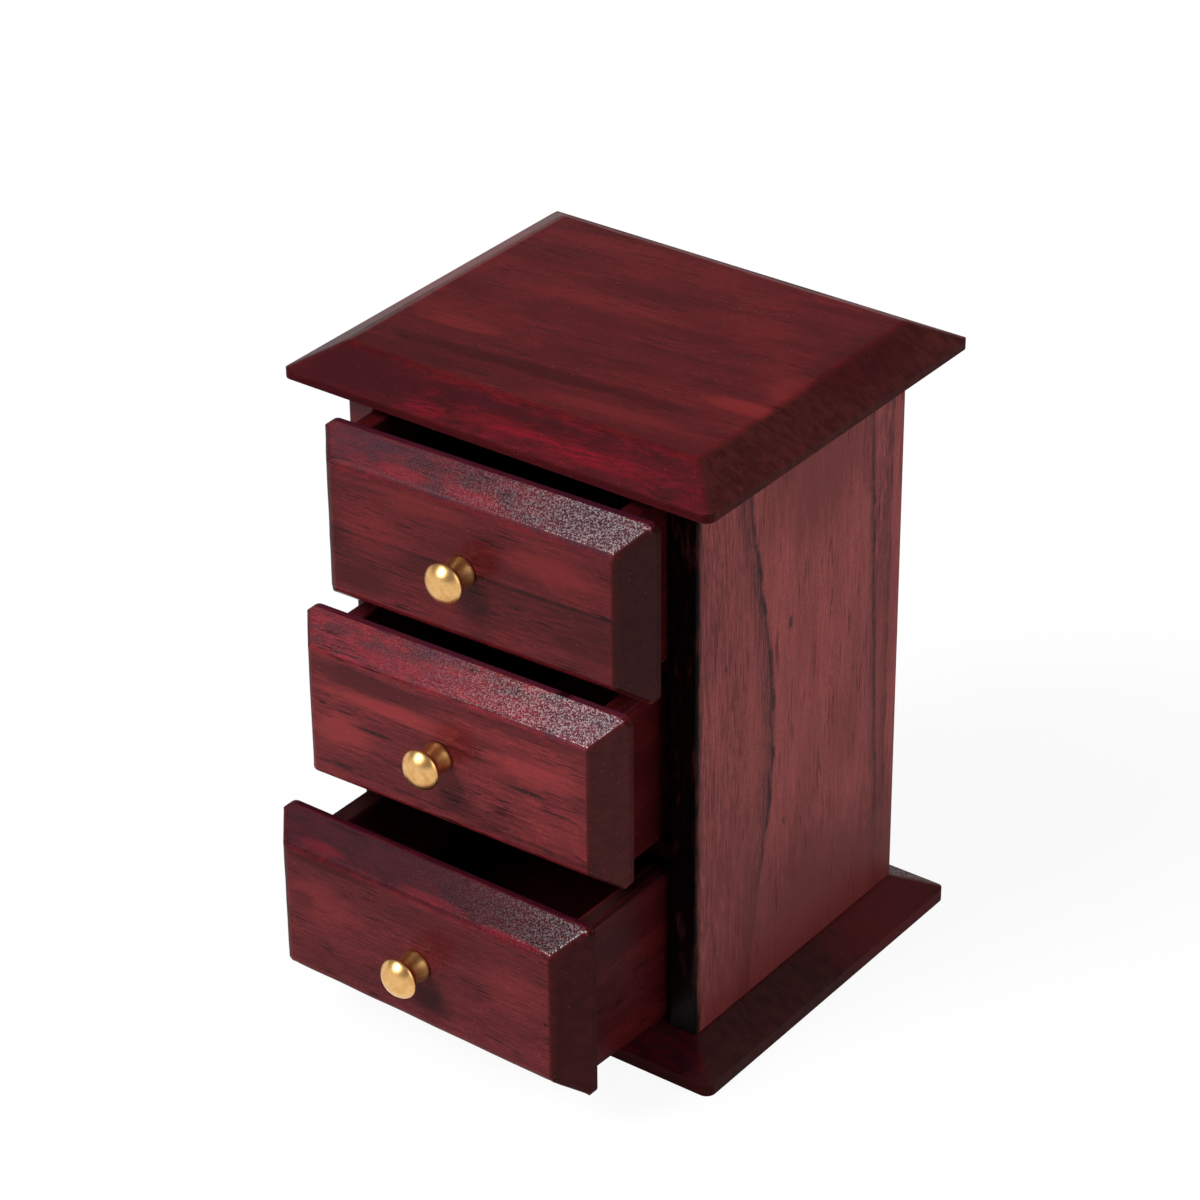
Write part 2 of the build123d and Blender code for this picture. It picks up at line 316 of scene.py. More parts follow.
plainLook = {
    "slant": 0.0, "bandWidth": 6.0, "bands": 0.6, "blotches": 0.6, "crimson": 0.6, "bevelTint": 0.8,
    "fibres": 0.3, "grit": 0.3, "pores": 0.7, "rim": 0.4, "endTone": 0.92, "wear": 0.45, "dust": 0.22,
    "tone": 1.0, "stain": {}, "veins": [], "patches": [], "shine": (-20.0, 42.0, 0.1, 0.4), "gloss": 0.2,
    "roughness": 0.3, "peel": 0.25, "relief": 0.25, "bevelPeel": 1.2,
}
woodFinish = {
    "veinStreaks": 0.45, "endMottle": 0.6, "wearNoise": (0.35, 3.0, 0.6), "wearRange": (0.42, 0.62),
    "leastWear": 0.05, "endWear": 0.15, "poreRoughness": 0.15, "endRoughness": 0.16, "backRoughness": 0.6,
    "bevelRoughness": 0.12, "coatRoughness": 0.11, "refraction": 1.5, "nibHeight": 0.5, "bumpDepth": 0.06,
    "edgeGloss": 0.02,
}


def pieceCoords(tree, centre, grain, turn):
    # Object coordinates in millimetres from the piece's middle, X along its grain
    source = addNode(tree, "TexCoord").outputs
    rotation = Euler((grainTurn[grain][0], grainTurn[grain][1], grainTurn[grain][2] - turn))
    start = -(rotation.to_matrix() @ (Vector(centre) * perMetre))
    mapping = {"Vector": source["Object"], "Location": start, "Rotation": rotation, "Scale": (perMetre,) * 3}
    return addNode(tree, "Mapping", mapping, vector_type="POINT").outputs[0], source["Normal"]


def addVeins(tree, vector, veins, color, colors, fibre):
    # Veins lie across the second or third axis of the piece's own coordinates
    parts = addNode(tree, "SeparateXYZ", {0: vector}).outputs
    streaks = smoothRange(tree, fibre, 0.0, 1.0, woodFinish["veinStreaks"], 1.0)
    for vein in veins:
        settings = {label: value for label, value in vein.items() if label in veinSettings["inputs"]}
        across = parts[{"y": 1, "z": 2}[vein["axis"]]]
        marks = useGroup(tree, veinGroup, {"Across": across, "Along": parts[0], **settings})
        color = tinted(tree, color, times(tree, marks["Shade"], streaks), vein["shade"], colors["vein"])
        color = tinted(tree, color, marks["Line"], vein["line"], colors["pore"])
    return color


def addPatches(tree, vectors, patches, color, colors, fibre, sideGrain):
    # A patch's place and half size are in millimetres. They lie in the board's own frame ("edge"), or in
    # the grain's, where the patch keeps off the end grain. A "streaky" patch shows only on dark fibres.
    for tone, amount, place, size, *kinds in patches:
        vector = vectors["edge" if "edge" in kinds else "grain"]
        mask = useGroup(tree, patchGroup, {"Vector": vector, "Place": place, "Size": size})["Mask"]
        if "edge" not in kinds:
            mask = times(tree, mask, sideGrain)
        if "streaky" in kinds:
            mask = times(tree, mask, fibre)
        color = tinted(tree, color, mask, amount, colors[tone])
    return color


def stainTones(look):
    colors = {**stain, **look["stain"]}
    tone = look["tone"]
    return {part: tuple(channel * tone for channel in color) + (1,) for part, color in colors.items()}


def figureColor(tree, look, colors, grain, upBevel, vector):
    # Bands and blotches, the redder bevels, then fibres, grit, veins and pores
    color = tinted(tree, colors["body"], grain["Band"], look["bands"], colors["deep"])
    color = tinted(tree, color, grain["Blotch"], look["blotches"], colors["warm"])
    bevelTone = tinted(tree, colors["plum"], grain["Mottle"], look["crimson"], colors["crimson"])
    color = tinted(tree, color, upBevel, look["bevelTint"], bevelTone)
    color = tinted(tree, color, grain["Fibre"], look["fibres"], colors["deep"])
    color = tinted(tree, color, grain["Grit"], look["grit"], colors["deep"])
    color = addVeins(tree, vector, look["veins"], color, colors, grain["Fibre"])
    return tinted(tree, color, grain["Pore"], look["pores"], colors["pore"])


def endGrainColor(tree, look, colors, grain, facing, color):
    # End grain has a tone of its own, and another on the upright rim of a board
    endTone = tinted(tree, colors["end"], grain["Mottle"], woodFinish["endMottle"], colors["pore"])
    upright = minus(tree, 1.0, facing["Bevel"])
    endTone = tinted(tree, endTone, upright, look["rim"], colors["rim"])
    return tinted(tree, color, facing["End"], look["endTone"], endTone)


def wornColor(tree, look, colors, vector, sideGrain, color):
    # Rounded arrises have an attribute of their own, and are worn to a brighter red in places
    worn = addNode(tree, "Attribute", attribute_name="arris").outputs["Fac"]
    texture = noiseOf(tree, vector, *woodFinish["wearNoise"])
    wear = smoothRange(tree, texture, *woodFinish["wearRange"], woodFinish["leastWear"], look["wear"])
    onSideGrain = smoothRange(tree, sideGrain, 0.0, 1.0, woodFinish["endWear"], 1.0)
    return mixColor(tree, times(tree, times(tree, worn, wear), onSideGrain), color, colors["worn"])


def woodRoughness(tree, look, grain, facing, upBevel):
    roughness = plus(tree, look["roughness"], times(tree, grain["Pore"], woodFinish["poreRoughness"]))
    roughness = plus(tree, roughness, times(tree, facing["End"], woodFinish["endRoughness"]))
    roughness = plus(tree, roughness, times(tree, facing["Back"], woodFinish["backRoughness"]), True)
    return plus(tree, roughness, times(tree, upBevel, woodFinish["bevelRoughness"]))


def woodHeight(tree, look, grain, varnish, upBevel):
    figure = times(tree, grain["Height"], look["relief"])
    height = plus(tree, times(tree, varnish["Peel"], look["peel"]), figure)
    height = plus(tree, height, times(tree, varnish["Nibs"], woodFinish["nibHeight"]))
    crinkles = times(tree, upBevel, look["bevelPeel"])
    return plus(tree, height, times(tree, varnish["Crinkle"], crinkles))


def stainedWood(name, ownLook, centre, turn=0.0):
    look = {**plainLook, **ownLook}
    colors = stainTones(look)
    material, tree = newMaterial(name)
    edgeVector, normal = pieceCoords(tree, centre, look["grain"], turn)
    vector = pieceCoords(tree, centre, look["grain"], turn + math.radians(look["slant"]))[0]
    figure = {"Vector": vector, "Seed": look["seed"], "Band Width": look["bandWidth"]}
    grain = useGroup(tree, grainGroup, figure)
    facing = useGroup(tree, facingGroup, {"Normal": normal, "Grain Axis": grainAxis[look["grain"]]})
    varnish = useGroup(tree, varnishGroup, {"Vector": vector})
    sideGrain = minus(tree, 1.0, facing["End"])
    upBevel = times(tree, times(tree, facing["Bevel"], facing["Up"]), sideGrain)

    color = figureColor(tree, look, colors, grain, upBevel, vector)
    color = endGrainColor(tree, look, colors, grain, facing, color)
    vectors = {"edge": edgeVector, "grain": vector}
    color = addPatches(tree, vectors, look["patches"], color, colors, grain["Fibre"], sideGrain)
    color = wornColor(tree, look, colors, vector, sideGrain, color)
    color = tinted(tree, color, varnish["Nibs"], look["dust"], colors["dust"])

    along = addNode(tree, "SeparateXYZ", {0: edgeVector}).outputs[0]
    shine = times(tree, smoothRange(tree, along, *look["shine"]), upBevel)
    height = woodHeight(tree, look, grain, varnish, upBevel)
    depth = woodFinish["bumpDepth"] * mm
    bump = addNode(tree, "Bump", {"Strength": 1.0, "Distance": depth, "Height": height})
    shader = addNode(tree, "BsdfPrincipled", {
        "Base Color": color, "Roughness": woodRoughness(tree, look, grain, facing, upBevel),
        "Normal": bump.outputs[0], "IOR": woodFinish["refraction"], "Specular IOR Level": look["gloss"],
        "Coat Weight": times(tree, shine, varnish["Speckle"]),
        "Coat Roughness": woodFinish["coatRoughness"]})
    showSurface(tree, shader)
    return material


metalFinish = {
    "smearNoise": (3.0, 0.6, 0.5), "smearRange": (0.35, 0.75), "smearRoughness": 0.14,
    "spotScale": 6, "spotDetail": 2.0, "spotRange": (0.66, 0.78), "spotDepth": 0.6, "spotHeight": 0.3,
    "bumpStrength": 0.05, "bumpDepth": 0.02,
}


def metal(name, look):
    # Polished metal with handling smears and small dull spots
    finish = metalFinish
    material, tree = newMaterial(name)
    source = addNode(tree, "TexCoord").outputs
    vector = vectorCalc(tree, "MULTIPLY", source["Object"], (perMetre,) * 3)[0]
    smear = noiseOf(tree, vector, look["scale"], *finish["smearNoise"])
    spots = noiseOf(tree, vector, look["scale"] * finish["spotScale"], finish["spotDetail"])
    tone = mixColor(tree, smoothRange(tree, smear, *finish["smearRange"]), look["color"], look["dark"])
    spotMask = smoothRange(tree, spots, *finish["spotRange"], 0.0, finish["spotDepth"])
    tone = mixColor(tree, spotMask, tone, look["dark"])
    height = plus(tree, smear, times(tree, spots, finish["spotHeight"]))
    depth = finish["bumpDepth"] * mm
    bump = addNode(tree, "Bump", {"Strength": finish["bumpStrength"], "Distance": depth, "Height": height})
    roughness = plus(tree, look["roughness"], times(tree, smear, finish["smearRoughness"]))
    shader = addNode(tree, "BsdfPrincipled", {
        "Base Color": tone, "Roughness": roughness, "Normal": bump.outputs[0], "Metallic": 1.0})
    showSurface(tree, shader)
    return material


# Making meshes and pieces. A place is a matrix in metres, and other lengths are millimetres.

def addObject(name, data):
    thing = bpy.data.objects.new(name, data)
    bpy.context.scene.collection.objects.link(thing)
    return thing


def meshObject(name, bm, materials):
    for face in bm.faces:
        face.smooth = True
    mesh = bpy.data.meshes.new(name)
    bm.to_mesh(mesh)
    bm.free()
    for material in materials:
        mesh.materials.append(material)
    return addObject(name, mesh)


def makePiece(name, bm, place, body, materials, replaced=()):
    bmesh.ops.remove_doubles(bm, verts=bm.verts, dist=mergeDistance)
    bmesh.ops.recalc_face_normals(bm, faces=bm.faces)
    bmesh.ops.transform(bm, matrix=place, verts=bm.verts)
    piece = meshObject(name, bm, materials)
    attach(piece, body)
    if replaced:
        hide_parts(*replaced)
    return piece


def keepFlats(piece):
    # Flat faces stay flat in the shading, and the rounded arrises blend into them
    finish = piece.modifiers.new("flats", "WEIGHTED_NORMAL")
    finish.mode = "FACE_AREA"
    finish.weight = 100
    finish.keep_sharp = False


def paint(name, material):
    for materialSlot in nodes[name].material_slots:
        materialSlot.material = material


def middleOf(name):
    low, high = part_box(name)
    return (low + high) / 2


def spunPiece(outline, steps):
    # Turned about Z, from an outline of radius and height
    bm = bmesh.new()
    verts = [bm.verts.new((radius * mm, 0, height * mm)) for radius, height in outline]
    edges = [bm.edges.new(pair) for pair in zip(verts[:-1], verts[1:])]
    bmesh.ops.spin(bm, geom=verts + edges, cent=(0, 0, 0), axis=(0, 0, 1), dvec=(0, 0, 0),
                   angle=2 * math.pi, steps=steps, use_merge=True)
    bmesh.ops.remove_doubles(bm, verts=bm.verts, dist=mergeDistance)
    bmesh.ops.recalc_face_normals(bm, faces=bm.faces)
    return bm


# Bevelled boards: the top, the base and the three drawer fronts, which are made lying on their backs with
# their lower edge to the front. Corners go round from the front left one.

boardShape = {
    "cornerSteps": 8, "shoulderSteps": 4, "shoulderWear": 0.3, "shoulderRise": 0.3, "arrisSteps": 3,
    "arrisWear": 1.0, "sharpAngle": 20, "longEdge": 5.0, "cuts": 24, "wobble": 0.16, "wobbleLength": 12.0,
    "wobbleStart": (7.7, 3.1, 5.3), "wobbleSeed": 10, "lowestWobble": -0.5, "lipRise": 0.2, "dullSlope": 0.3,
    "cutDistance": 1e-7,
}
topSizes = {
    "thickness": 8.0, "lip": 2.0, "side": 10.3, "front": 10.6, "back": 10.6, "corners": (2.5,) * 4,
    "arris": 0.8, "shoulder": 1.3, "droop": (0.0, 0.0), "upright": False,
}
baseSizes = {
    "thickness": 8.5, "lip": 3.2, "side": 10.1, "front": 8.9, "back": 10.1, "corners": (2.5,) * 4,
    "arris": 0.7, "shoulder": 1.0, "droop": (0.0, 0.0), "upright": False,
}
carcass = {"width": 97.5, "depth": 82.0}
noise.seed_set(boardShape["wobbleSeed"])  # without a seed, noise_vector takes its own from the clock


def sharpEdges(bm):
    least = math.radians(boardShape["sharpAngle"])
    return [edge for edge in bm.edges if len(edge.link_faces) == 2 and edge.calc_face_angle(0.0) > least]


def bevelledBoard(field, sizes, seed):
    # Flat side down on Z = 0, in metres, with its flat field centred on the origin
    bm = boardBlank(field, sizes)
    cutSlopes(bm, field, sizes)
    bmesh.ops.recalc_face_normals(bm, faces=bm.faces)
    handPlane(bm, seed)
    softenEdges(bm, sizes)
    dullEdges(bm, sizes)
    return bm


def boardBlank(field, sizes):
    # A board with rounded corners, whose front edge droops by so much at its left and right end
    width, depth, thickness = field[0] * mm, field[1] * mm, sizes["thickness"] * mm
    side, front, back = sizes["side"] * mm, sizes["front"] * mm, sizes["back"] * mm
    bm = bmesh.new()
    bmesh.ops.create_cube(bm, size=1.0)
    bmesh.ops.scale(bm, verts=bm.verts, vec=(width + 2 * side, depth + front + back, thickness))
    bmesh.ops.translate(bm, verts=bm.verts, vec=(0, (back - front) / 2, thickness / 2))
    for sideX, droop in zip((-1, 1), sizes["droop"]):
        lowCorner = [vert for vert in bm.verts if vert.co.x * sideX > 0 and vert.co.y < 0]
        bmesh.ops.translate(bm, verts=lowCorner, vec=(0, -droop * mm, 0))
    for (sideX, sideY), radius in zip(((-1, -1), (1, -1), (1, 1), (-1, 1)), sizes["corners"]):
        upright = []
        for edge in bm.edges:
            start, end = (vert.co for vert in edge.verts)
            if abs(start.z - end.z) > thickness / 2 and start.x * sideX > 0 and start.y * sideY > 0:
                upright.append(edge)
        bmesh.ops.bevel(bm, geom=upright, offset=radius * mm, offset_type="OFFSET", affect="EDGES",
                        segments=boardShape["cornerSteps"], profile=0.5, material=-1, clamp_overlap=False)
    return bm


def cutSlopes(bm, field, sizes):
    # Four planes cut the bevels, from the edges of the flat field down to the lip
    width, depth, thickness = field[0] * mm, field[1] * mm, sizes["thickness"] * mm
    side, front, back = sizes["side"] * mm, sizes["front"] * mm, sizes["back"] * mm
    drop = thickness - sizes["lip"] * mm
    left, right = sizes["droop"]
    tilt = (right - left) * mm / width
    frontEdge = -depth / 2 - (left + right) / 2 * mm
    slopes = [((0, frontEdge), (-tilt, -1), front), ((width / 2, 0), (1, 0), side),
              ((0, depth / 2), (0, 1), back), ((-width / 2, 0), (-1, 0), side)]
    for edge, outward, run in slopes:
        cut = bmesh.ops.bisect_plane(
            bm, geom=bm.verts[:] + bm.edges[:] + bm.faces[:], dist=boardShape["cutDistance"],
            clear_outer=True, plane_co=(edge[0], edge[1], thickness),
            plane_no=(outward[0] * drop, outward[1] * drop, run))
        rim = [item for item in cut["geom_cut"] if isinstance(item, bmesh.types.BMEdge)]
        bmesh.ops.contextual_create(bm, geom=rim)


def handPlane(bm, seed):
    # Hand-worked edges aren't dead straight: each long arris wanders by a tenth of a millimetre
    longEdges = [edge for edge in sharpEdges(bm) if edge.calc_length() > boardShape["longEdge"] * mm]
    bmesh.ops.subdivide_edges(bm, edges=longEdges, cuts=boardShape["cuts"], use_grid_fill=False)
    start = Vector([seed * step for step in boardShape["wobbleStart"]])
    for vert in bm.verts:
        if len(vert.link_edges) > 2:
            continue
        spot = vert.co * perMetre / boardShape["wobbleLength"] + start
        shift = noise.noise_vector(spot) * boardShape["wobble"] * mm
        normals = [face.normal for face in vert.link_faces]
        if len(normals) == 2 and min(normal.z for normal in normals) > boardShape["lowestWobble"]:
            inward = -(normals[0] + normals[1]).normalized()
            vert.co += inward * abs(shift.x)


def softenEdges(bm, sizes):
    # The shoulders round the flat field and along the mitres are sanded rounder than the lip
    worn = bm.faces.layers.float.new("arris")
    for kind in ("shoulder", "arris"):
        bm.normal_update()
        edges = sharpEdges(bm)
        if kind == "shoulder":
            rise = boardShape["shoulderRise"]
            edges = [edge for edge in edges if min(face.normal.z for face in edge.link_faces) > rise]
        made = bmesh.ops.bevel(
            bm, geom=edges, offset=sizes[kind] * mm, offset_type="OFFSET", affect="EDGES",
            segments=boardShape[kind + "Steps"], profile=0.5, material=-1, clamp_overlap=kind == "arris")
        for face in made["faces"]:
            face[worn] = boardShape[kind + "Wear"]


def dullEdges(bm, sizes):
    # The lips, and on an upright board the slope that looks down, have little varnish
    bm.normal_update()
    for face in bm.faces:
        lip = abs(face.normal.z) < boardShape["lipRise"]
        below = sizes["upright"] and face.normal.y < -boardShape["dullSlope"]
        face.material_index = 1 if lip or below else 0


def boardWoods(name, look, centre, turn=0.0):
    # The varnished wood of a board, and the same wood with little varnish for its edges
    edgeLook = {**look, "gloss": woodFinish["edgeGloss"]}
    wood = stainedWood(name + " wood", look, centre, turn)
    return [wood, stainedWood(name + " edge wood", edgeLook, centre, turn)]


topLook = {
    "grain": "X", "slant": 6.0, "seed": 3.0, "bandWidth": 7.0, "bands": 0.45, "blotches": 0.45,
    "fibres": 0.35, "pores": 0.5, "roughness": 0.30, "peel": 0.2, "bevelPeel": 1.3, "relief": 0.2,
    "tone": 0.85, "crimson": 0.6, "bevelTint": 0.85, "rim": 0.15, "gloss": 0.07,
    "shine": (-60.0, 56.0, 0.1, 0.45),
    "stain": {"end": (0.078, 0.0160, 0.0150), "plum": (0.060, 0.0060, 0.0100)},
    "patches": [
        ("deep", 0.75, (-8, -27, 0), (56, 4.0, 99)),
        ("deep", 0.60, (-40, -34, 0), (26, 7, 99)),
        ("warm", 0.45, (18, -35.5, 0), (30, 3.5, 99)),
        ("warm", 0.45, (-34, -15.5, 0), (16, 3.5, 99)),
        ("warm", 0.25, (-12, 9, 0), (26, 5, 99)),
        ("warm", 0.70, (42, -20, 0), (14, 4, 99)),
        ("warm", 0.45, (46, -8, 0), (6, 8, 99)),
        ("warm", 0.25, (24, 16, 0), (22, 6, 99)),
        ("deep", 0.55, (20, 2, 0), (18, 3.5, 99), "streaky"),
        ("deep", 0.60, (10, -15, 0), (12, 1.8, 99), "streaky"),
        ("deep", 0.60, (50, 18, 0), (9, 26, 99), "edge"),
        ("deep", 0.40, (-33, 26, 0), (26, 9, 99)),
        ("plum", 0.85, (-5, -44.0, 0), (36, 1.7, 99), "edge"),
        ("plum", 0.95, (-42, -47, 0), (28, 8, 99), "edge"),
        ("crimson", 1.00, (-19.5, -49.5, 0), (7, 2.2, 99), "edge", "streaky"),
        ("crimson", 1.00, (2, -47.3, 0), (18, 2.2, 99), "edge", "streaky"),
        ("crimson", 1.00, (24, -47.5, 0), (24, 3.4, 99), "edge", "streaky"),
        ("vein", 0.80, (16, -45.6, 0), (24, 1.6, 99), "edge", "streaky"),
        ("vein", 0.80, (-14, -46.4, 0), (24, 2.0, 99), "edge", "streaky"),
        ("deep", 0.85, (0, -52.4, -3.4), (999, 2.0, 2.2), "edge"),
        ("plum", 0.50, (30, -51, 0), (14, 1.3, 99), "edge"),
        ("body", 0.90, (-55, 12, 0), (9, 46, 99), "edge"),
    ],
}
# Its tone of 0.6 darkens the whole base: painted shade of the drawers and the top above it
baseLook = {
    "grain": "X", "seed": 8.0, "bandWidth": 5.0, "bands": 0.8, "blotches": 0.35, "fibres": 0.4, "pores": 0.6,
    "roughness": 0.33, "peel": 0.3, "bevelPeel": 1.2, "relief": 0.3, "tone": 0.6, "gloss": 0.14, "rim": 0.15,
    "stain": {"end": (0.072, 0.0160, 0.0150)},
    "patches": [("body", 0.8, (54, 32, 0), (12, 34, 99), "edge")],
}
field = (carcass["width"], carcass["depth"])

for name, sizes, look, seed in (("top", topSizes, topLook, 1), ("base", baseSizes, baseLook, 2)):
    node = name + "_board"
    foot = Matrix.Translation((0, 0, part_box(node)[0].z))
    woods = boardWoods(name + " board", look, middleOf(node))
    board = bevelledBoard(field, sizes, seed)
    keepFlats(makePiece(name + "Board", board, foot, "carcass", woods, [node]))
print("stage: top and base boards made")


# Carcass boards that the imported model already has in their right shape

sideLooks = {
    "right_side": {
        "grain": "Z", "seed": 5.0, "bandWidth": 5.0, "bands": 0.35, "blotches": 0.4, "fibres": 0.35,
        "pores": 0.5, "roughness": 0.38, "peel": 0.2, "relief": 0.3, "dust": 0.1, "gloss": 0.05,
        # This stain is about twice as light as the other boards' stain, and pinker: it paints the light and
        # the pale sheen that fall on this face
        "stain": {"body": (0.38, 0.086, 0.084), "warm": (0.50, 0.115, 0.110), "deep": (0.135, 0.021, 0.021),
                  "vein": (0.060, 0.013, 0.014), "pore": (0.026, 0.006, 0.007)},
        "veins": [
            {"axis": "y", "Place": -20.8, "Width": 1.2, "Tail": 8.5, "Bulge": 10.2, "Middle": -4.0,
             "Reach": 76.0, "Sway": 2.2, "Gaps": 0.65, "line": 0.95, "shade": 1.0},
            {"axis": "y", "Place": 31.0, "Width": 1.1, "Tail": 3.0, "Slope": -0.047, "Sway": 2.0,
             "Gaps": 0.5, "line": 0.95, "shade": 0.9},
            {"axis": "y", "Place": 36.6, "Width": 0.7, "Tail": 4.0, "Sway": 2.0, "Gaps": 0.9, "line": 0.7,
             "shade": 0.6},
        ],
        "patches": [
            ("vein", 0.50, (10, -33, 0), (95, 15, 99), "streaky"),
            ("vein", 0.75, (40, 33, 0), (38, 4.5, 99), "streaky"),
            ("deep", 0.40, (-34, -26, 0), (26, 12, 99)),
            ("deep", 0.30, (-18, 17, 0), (16, 9, 99)),
            ("deep", 0.65, (60, 8, 0), (26, 30, 99)),
            ("deep", 0.30, (10, 34, 0), (60, 8, 99)),
            ("warm", 0.35, (-42, 22, 0), (16, 7, 99)),
            ("deep", 0.85, (-74, 8, 0), (54, 90, 99), "edge"),
            ("pore", 0.85, (22, -4.5, 0), (2.2, 0.9, 99), "edge"),
            ("pore", 0.70, (22, -29.9, 0), (1.4, 0.7, 99), "edge"),
            ("pore", 0.70, (-31, -6, 0), (1.5, 0.7, 99), "edge"),
            # black paints the shade on this board's front edge, between the drawer fronts and the carcass
            ("black", 1.00, (0, -42.3, 0), (999, 3.6, 99), "edge"),
        ],
    },
    "left_side": {
        "grain": "Z", "seed": 11.0, "bandWidth": 6.0, "bands": 0.5, "blotches": 0.35, "fibres": 0.5,
        "pores": 0.8, "roughness": 0.36, "peel": 0.2, "relief": 0.3, "tone": 1.1, "dust": 0.1,
        "veins": [{"axis": "y", "Place": 6.0, "Width": 0.9, "Tail": 7.0, "Bulge": -7.0, "Middle": 10.0,
                   "Reach": 70.0, "Sway": 2.0, "line": 0.8, "shade": 0.7}],
        # black paints the shade on this board's front edge, all but its top
        "patches": [("black", 1.00, (-12, -42.3, 0), (80, 3.6, 99), "edge")],
    },
}
# The dark tones of the divider and of the drawer sides, backs and bottoms are partly painted shade, for the
# dark inside of the chest and the drawers
innerLooks = {
    "divider_wood": {"grain": "X", "seed": 14.0, "bands": 0.8, "blotches": 0.2, "roughness": 0.45,
                     "peel": 0.1, "tone": 0.2, "gloss": 0.05},
    "back_ply": {"grain": "Z", "seed": 16.0, "bands": 0.5, "blotches": 0.5, "fibres": 0.5, "pores": 0.8,
                 "roughness": 0.5, "peel": 0.1, "relief": 0.6, "tone": 0.9, "gloss": 0.1},
    "box_side": {"grain": "Y", "seed": 20.0, "bands": 0.6, "blotches": 0.6, "roughness": 0.38, "peel": 0.3,
                 "tone": 0.45, "gloss": 0.03},
    "box_back": {"grain": "X", "seed": 23.0, "bands": 0.6, "blotches": 0.3, "roughness": 0.4, "peel": 0.2,
                 "tone": 0.25, "gloss": 0.05},
    "box_bottom": {"grain": "Y", "seed": 26.0, "bands": 0.6, "blotches": 0.3, "roughness": 0.45,
                   "peel": 0.15, "tone": 0.2, "gloss": 0.05},
}

for name, look in sideLooks.items():
    paint(name, stainedWood(name.replace("_", " ") + " wood", look, middleOf(name)))
dividerWood = stainedWood("divider wood", innerLooks["divider_wood"], (0, 0, 0))
paint("lower_divider", dividerWood)
paint("upper_divider", dividerWood)
paint("back_panel", stainedWood("back panel ply", innerLooks["back_ply"], middleOf("back_panel")))
print("stage: carcass boards finished")


# Drawers. Each one's local frame has its front's back face at Y = 0 and its box's underside at Z = 0.

drawerTurn = {"top": 1.675, "middle": 1.356, "bottom": -0.598}  # degrees to the left, seen from above
boxSizes = {"depth": 76.0, "bottomLow": 2.5, "bottomThickness": 3.0}
easedSizes = {"behindFront": 0.5, "flatness": 0.05, "sharpAngle": 30}
frontSizes = {
    "width": 89.5, "height": 44.8, "thickness": 9.2, "lip": 1.8, "side": 5.8, "front": 5.8, "back": 5.8,
    "arris": 0.8, "droop": (0.0, 0.0), "upright": True,
}
frontShapes = {
    "top": {"corners": (2.4, 2.4, 2.4, 3.2), "shoulder": 1.4},
    "middle": {"corners": (1.4, 2.4, 2.4, 3.2), "shoulder": 0.9},
    "bottom": {"corners": (1.7, 1.6, 2.0, 3.6), "shoulder": 1.3, "droop": (-0.35, 0.65)},
}
frontLook = {"grain": "X", "roughness": 0.3, "peel": 0.2, "rim": 0.0, "wear": 0.6}
